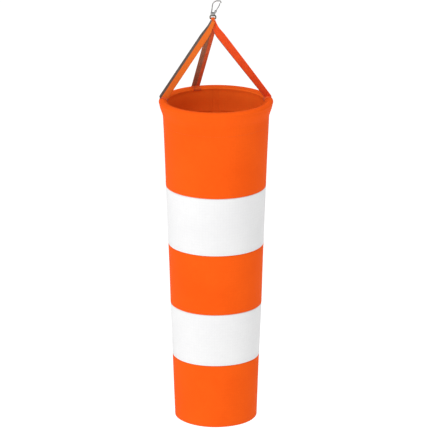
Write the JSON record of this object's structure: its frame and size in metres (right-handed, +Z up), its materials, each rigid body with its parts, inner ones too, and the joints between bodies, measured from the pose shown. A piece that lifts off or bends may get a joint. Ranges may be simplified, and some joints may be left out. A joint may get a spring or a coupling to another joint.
{
  "type": "hanging windsock",
  "caption": "Tapered fabric windsock with orange and white bands, a hooped open mouth, a webbing bridle and a swivelling snap hook.",
  "frame": {"origin": "hang point: the inner top of the snap hook's bow, where it bears on what it is clipped to", "axes": "+Z up along the hanging sock, +X to the right in the plane of the hook, +Y away from the viewer"},
  "size_m": [0.2111, 0.2102, 0.7965],
  "materials": {
    "orange_fabric": "matt coated polyester weave",
    "white_fabric": "matt coated polyester weave",
    "webbing": "flat woven polyester webbing",
    "steel": "satin plated wire",
    "swivel": "darkened plating",
    "hoop_plastic": "satin extruded tube",
    "plug_plastic": "moulded"
  },
  "bodies": {
    "hook": {"hook_body": "steel", "gate_rivet": "steel", "gate_spring": "steel"},
    "gate": {"gate": "steel"},
    "swivel": {"swivel_eye": "swivel"},
    "bridle": {"crown_loop": "webbing", "strap_left": "webbing", "strap_right": "webbing", "strap_rear": "webbing"},
    "mouth": {"panel_orange_mouth": "orange_fabric", "hoop": "hoop_plastic", "hoop_plug": "plug_plastic", "strap_end_left": "webbing", "strap_end_right": "webbing", "strap_end_rear": "webbing"},
    "band_white_upper": {"panel_white_upper": "white_fabric"},
    "band_orange_middle": {"panel_orange_middle": "orange_fabric"},
    "band_white_lower": {"panel_white_lower": "white_fabric"},
    "band_orange_tail": {"panel_orange_tail": "orange_fabric"}
  },
  "joints": [
    {"name": "gate_hinge", "type": "hinge", "parent": "hook", "child": "gate", "pos_m": [-0.0056, 0, -0.0184], "axis": [0, -1, 0], "range_deg": [0, 22], "stiffness_Nm_per_rad": 0.03, "springref_deg": -11.46},
    {"name": "swivel_spin", "type": "hinge", "parent": "hook", "child": "swivel", "pos_m": [-0.0105, 0, -0.0249], "axis": [0, 0, 1], "continuous": true},
    {"name": "bridle_swing", "type": "hinge", "parent": "swivel", "child": "bridle", "pos_m": [-0.0105, 0, -0.032], "axis": [1, 0, 0], "range_deg": [-80, 80]},
    {"name": "bridle_fold", "type": "slide", "parent": "bridle", "child": "mouth", "axis": [0, 0, 1], "range_m": [0, 0.105], "deforming": ["strap_left", "strap_right", "strap_rear"]},
    {"name": "seam_bend_1", "type": "hinge", "parent": "mouth", "child": "band_white_upper", "pos_m": [-0.005, 0, -0.3457], "axis": [1, 0, 0], "range_deg": [-25, 25], "deforming": ["panel_white_upper"]},
    {"name": "seam_bend_2", "type": "hinge", "parent": "band_white_upper", "child": "band_orange_middle", "pos_m": [-0.005, 0, -0.4561], "axis": [1, 0, 0], "range_deg": [-25, 25], "deforming": ["panel_orange_middle"]},
    {"name": "seam_bend_3", "type": "hinge", "parent": "band_orange_middle", "child": "band_white_lower", "pos_m": [-0.005, 0, -0.5716], "axis": [1, 0, 0], "range_deg": [-25, 25], "deforming": ["panel_white_lower"]},
    {"name": "seam_bend_4", "type": "hinge", "parent": "band_white_lower", "child": "band_orange_tail", "pos_m": [-0.005, 0, -0.672], "axis": [1, 0, 0], "range_deg": [-25, 25], "deforming": ["panel_orange_tail"]}
  ]
}
